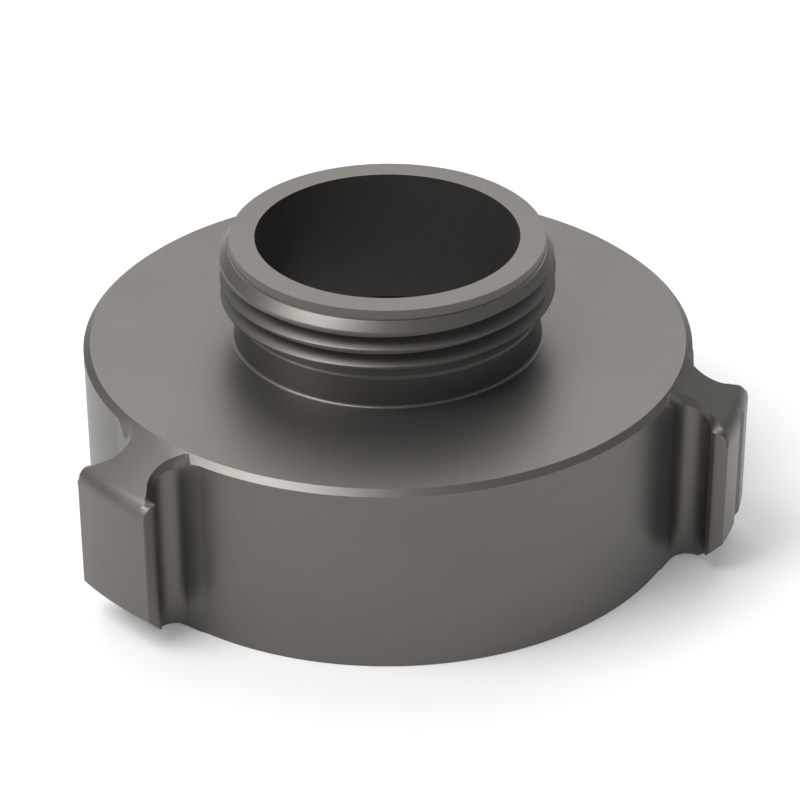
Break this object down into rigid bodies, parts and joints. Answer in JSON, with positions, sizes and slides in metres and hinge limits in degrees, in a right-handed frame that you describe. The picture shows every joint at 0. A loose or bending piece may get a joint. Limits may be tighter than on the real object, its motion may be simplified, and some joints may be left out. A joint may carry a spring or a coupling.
{
  "type": "fire hose adapter",
  "caption": "Rigid one-piece hose adapter with a large internal thread below, a small external thread above, wrench lugs round the base and a flat gasket inside.",
  "frame": {"origin": "on the axis of the waterway, level with the face of the large end, which the part rests on", "axes": "+Z along the axis from the large internal thread to the small external thread; +X through the middle of the lug that carries the notch"},
  "size_m": [0.1013, 0.102, 0.0462],
  "materials": {
    "anodised_aluminium": "fine satin, hard anodised to a warm dark grey",
    "black_rubber": "matt"
  },
  "bodies": {
    "root": {"adapter_body": "anodised_aluminium", "gasket": "black_rubber"}
  },
  "joints": []
}
